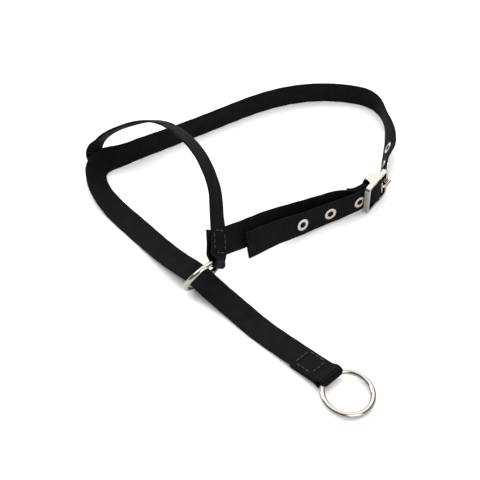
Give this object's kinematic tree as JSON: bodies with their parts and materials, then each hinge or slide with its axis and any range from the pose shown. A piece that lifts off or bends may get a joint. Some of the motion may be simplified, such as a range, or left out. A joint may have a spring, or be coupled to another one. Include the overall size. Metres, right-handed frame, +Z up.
{
  "type": "dog head halter",
  "caption": "Black nylon webbing dog head halter with nose strap, slip ring, lead ring and a punched buckle strap, lying fastened.",
  "frame": {"origin": "middle of the halter's outline, on the surface it lies on", "axes": "+Z up from the surface it lies on; +Y away from the lead ring's end, across the longest extent; +X to the buckle side"},
  "size_m": [0.2452, 0.3317, 0.0718],
  "materials": {
    "black_webbing": "woven",
    "plated_steel": "polished",
    "plated_eyelet": "polished",
    "black_thread": "woven"
  },
  "bodies": {
    "halter": {"crown_strap": "black_webbing", "chin_strap": "black_webbing", "strap_through_buckle": "black_webbing", "buckle_strap": "black_webbing", "buckle_strap_fold": "black_webbing", "nose_strap_cheek_fold": "black_webbing", "nose_strap_far_tab": "black_webbing", "buckle_frame": "plated_steel", "buckle_centre_bar": "plated_steel", "crown_eyelets": "plated_eyelet", "crown_eyelet_washers": "plated_eyelet", "buckle_eyelets": "plated_eyelet", "buckle_eyelet_washers": "plated_eyelet", "cheek_stitching": "black_thread", "far_cheek_stitching": "black_thread", "buckle_fold_stitching": "black_thread"},
    "nose_band": {"nose_strap": "black_webbing"},
    "slip_ring": {"slip_ring": "plated_steel"},
    "lead": {"lead_strap": "black_webbing", "lead_ring_loop": "black_webbing", "lead_loop_stitching": "black_thread"},
    "lead_ring": {"lead_ring": "plated_steel"},
    "tail": {"strap_tail": "black_webbing", "tail_eyelets": "plated_eyelet", "tail_eyelet_washers": "plated_eyelet"},
    "tongue": {"buckle_tongue": "plated_steel"}
  },
  "joints": [
    {"name": "nose_band_tilt", "type": "hinge", "parent": "halter", "child": "nose_band", "pos_m": [-0.017, -0.0304, 0.0412], "axis": [-0.626, 0.769, -0.1293], "range_deg": [-12, 12], "stiffness_Nm_per_rad": 0.02, "deforming": ["nose_strap_cheek_fold", "nose_strap_far_tab"]},
    {"name": "slip_ring_spin", "type": "hinge", "parent": "halter", "child": "slip_ring", "pos_m": [-0.0279, -0.0511, 0.0161], "axis": [0.6147, -0.6847, -0.3916], "continuous": true},
    {"name": "lead_strap_lift", "type": "hinge", "parent": "halter", "child": "lead", "pos_m": [-0.00418, -0.07236, 0.00431], "axis": [-0.687, -0.7267, -0.0007], "range_deg": [0, 60]},
    {"name": "lead_ring_pivot", "type": "hinge", "parent": "lead", "child": "lead_ring", "pos_m": [0.05736, -0.13494, 0.00648], "axis": [-0.7098, -0.7044, 0.0011], "range_deg": [0, 120], "deforming": ["lead_ring_loop"]},
    {"name": "tail_swing", "type": "hinge", "parent": "halter", "child": "tail", "pos_m": [0.07221, 0.02009, 0.01082], "axis": [-0.0621, 0.0136, 0.998], "range_deg": [0, 50]},
    {"name": "tongue_lift", "type": "hinge", "parent": "halter", "child": "tongue", "pos_m": [0.09687, 0.04335, 0.0127], "axis": [0, 0, -1], "range_deg": [0, 5]}
  ]
}
